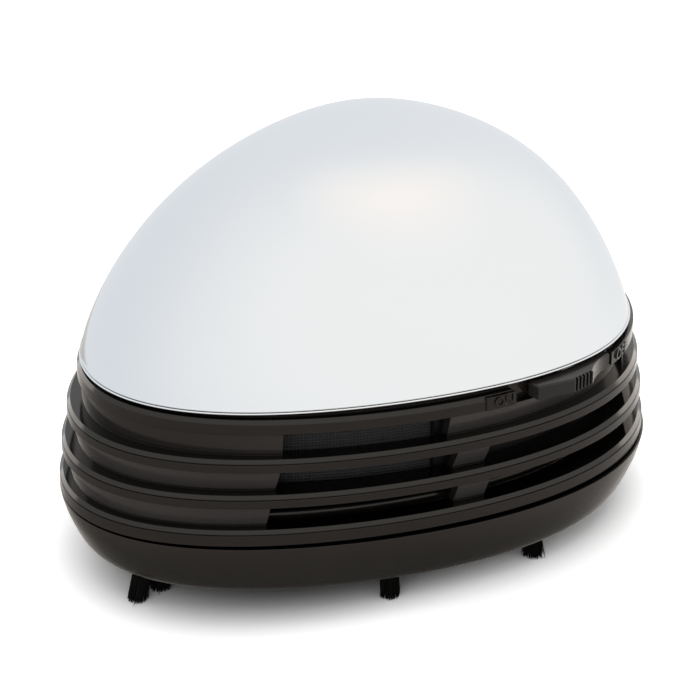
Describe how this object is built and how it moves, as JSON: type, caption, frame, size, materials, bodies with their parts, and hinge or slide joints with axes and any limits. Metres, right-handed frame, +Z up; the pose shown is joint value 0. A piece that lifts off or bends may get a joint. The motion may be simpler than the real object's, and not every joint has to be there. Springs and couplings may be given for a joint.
{
  "type": "desktop mini vacuum cleaner",
  "caption": "Battery-powered desktop crumb vacuum: a mirror-plated dome on an egg-shaped vented housing with a slide switch, standing on bristle tufts.",
  "frame": {"origin": "on the table under the bristle tips, at the middle of the egg-shaped plan", "axes": "+X towards the wide rear end, -Y the side with the switch, +Z up"},
  "size_m": [0.1088, 0.0867, 0.0691],
  "materials": {
    "housing_black": "glossy injection-moulded black ABS",
    "pan_black": "glossy injection-moulded black ABS",
    "tray_black": "glossy black ABS",
    "inner_black": "plain moulded black ABS",
    "knob_black": "glossy black ABS",
    "dome_mirror": "mirror-plated ABS, a near-white silver",
    "bristle": "bundled black nylon bristles",
    "mesh": "dark grey woven nylon screen",
    "steel": "nickel-plated steel",
    "zinc_screw": "zinc-plated steel",
    "motor_can_steel": "drawn zinc-plated steel",
    "motor_white": "moulded nylon",
    "ferrite": "sintered ferrite",
    "core_steel": "stacked electrical steel",
    "copper": "enamelled copper wire",
    "brass_bar": "copper bars",
    "fan_white": "moulded white plastic",
    "cell_wrap": null,
    "red_wire": "red PVC insulation",
    "black_wire": "black PVC insulation"
  },
  "bodies": {
    "base": {"base_pan": "pan_black", "bristle_tufts": "bristle", "inlet_throat": "inner_black", "dust_tray": "tray_black"},
    "housing": {"vented_housing": "housing_black", "screen_frame": "inner_black", "screen_mesh": "mesh", "fan_plate": "inner_black", "motor_deck": "inner_black", "deck_screws": "zinc_screw", "motor_can": "motor_can_steel", "motor_end_cap": "motor_white", "motor_magnets": "ferrite", "motor_brushes": "brass_bar", "motor_terminals": "steel", "battery_tray": "inner_black", "battery_front": "cell_wrap", "battery_rear": "cell_wrap", "contact_link": "steel", "contact_plates": "steel", "battery_springs": "steel", "motor_strap": "inner_black", "strap_screws": "zinc_screw", "switch_case": "inner_black", "switch_terminals": "steel", "lead_motor_switch": "red_wire", "lead_cell_switch": "red_wire", "lead_cell_motor": "black_wire"},
    "rotor": {"motor_shaft": "steel", "armature_core": "core_steel", "armature_windings": "copper", "commutator": "brass_bar", "impeller": "fan_white"},
    "switch": {"switch_knob": "knob_black", "switch_slider": "motor_white"},
    "dome": {"dome_shell": "dome_mirror"}
  },
  "joints": [
    {"name": "housing_lift", "type": "slide", "parent": "base", "child": "housing", "axis": [0, 0, 1], "range_m": [0, 0.03]},
    {"name": "dome_lift", "type": "slide", "parent": "housing", "child": "dome", "axis": [0, 0, 1], "range_m": [0, 0.04]},
    {"name": "switch_slide", "type": "slide", "parent": "housing", "child": "switch", "axis": [0.9945, 0.1045, 0], "range_m": [-0.0022, 0]},
    {"name": "rotor_spin", "type": "hinge", "parent": "housing", "child": "rotor", "pos_m": [0.006, 0, 0.036], "axis": [0, 0, 1], "continuous": true}
  ]
}
